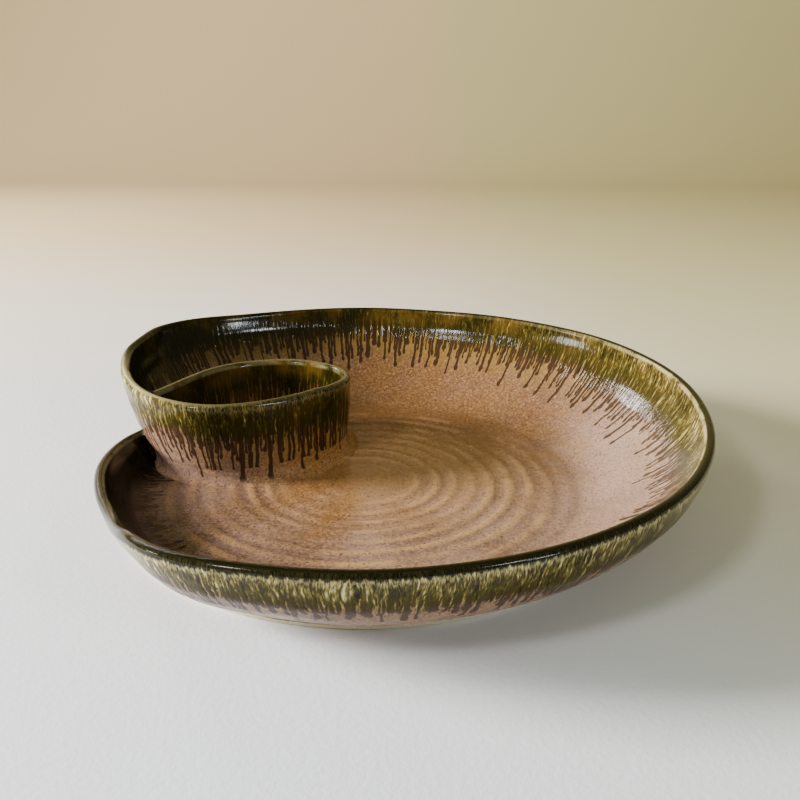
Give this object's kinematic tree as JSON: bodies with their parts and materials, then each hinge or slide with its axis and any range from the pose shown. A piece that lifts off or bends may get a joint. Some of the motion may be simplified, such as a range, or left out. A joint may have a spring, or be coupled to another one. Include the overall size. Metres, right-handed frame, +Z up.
{
  "type": "chip and dip server",
  "caption": "Round stoneware serving tray with a raised rim that curls back in on itself to enclose a small dip bowl.",
  "frame": {"origin": "on the table, at the middle of the server's outline seen from above", "axes": "+Z up; the dip bowl lies towards -X and +Y, and the low front of the rim faces -Y"},
  "size_m": [0.2783, 0.3051, 0.0557],
  "materials": {
    "mauve_glaze": "gloss glaze, speckled",
    "rim_glaze": "gloss glaze, streaked",
    "bare_stoneware": "matt, unglazed"
  },
  "bodies": {
    "root": {"tray_floor": "mauve_glaze", "foot_ring": "bare_stoneware", "tray_wall": "rim_glaze", "dip_bowl_wall": "rim_glaze", "bowl_outer_coil": "mauve_glaze", "bowl_inner_coil": "mauve_glaze", "low_end_coil": "rim_glaze", "curl_end_coil": "rim_glaze"}
  },
  "joints": []
}
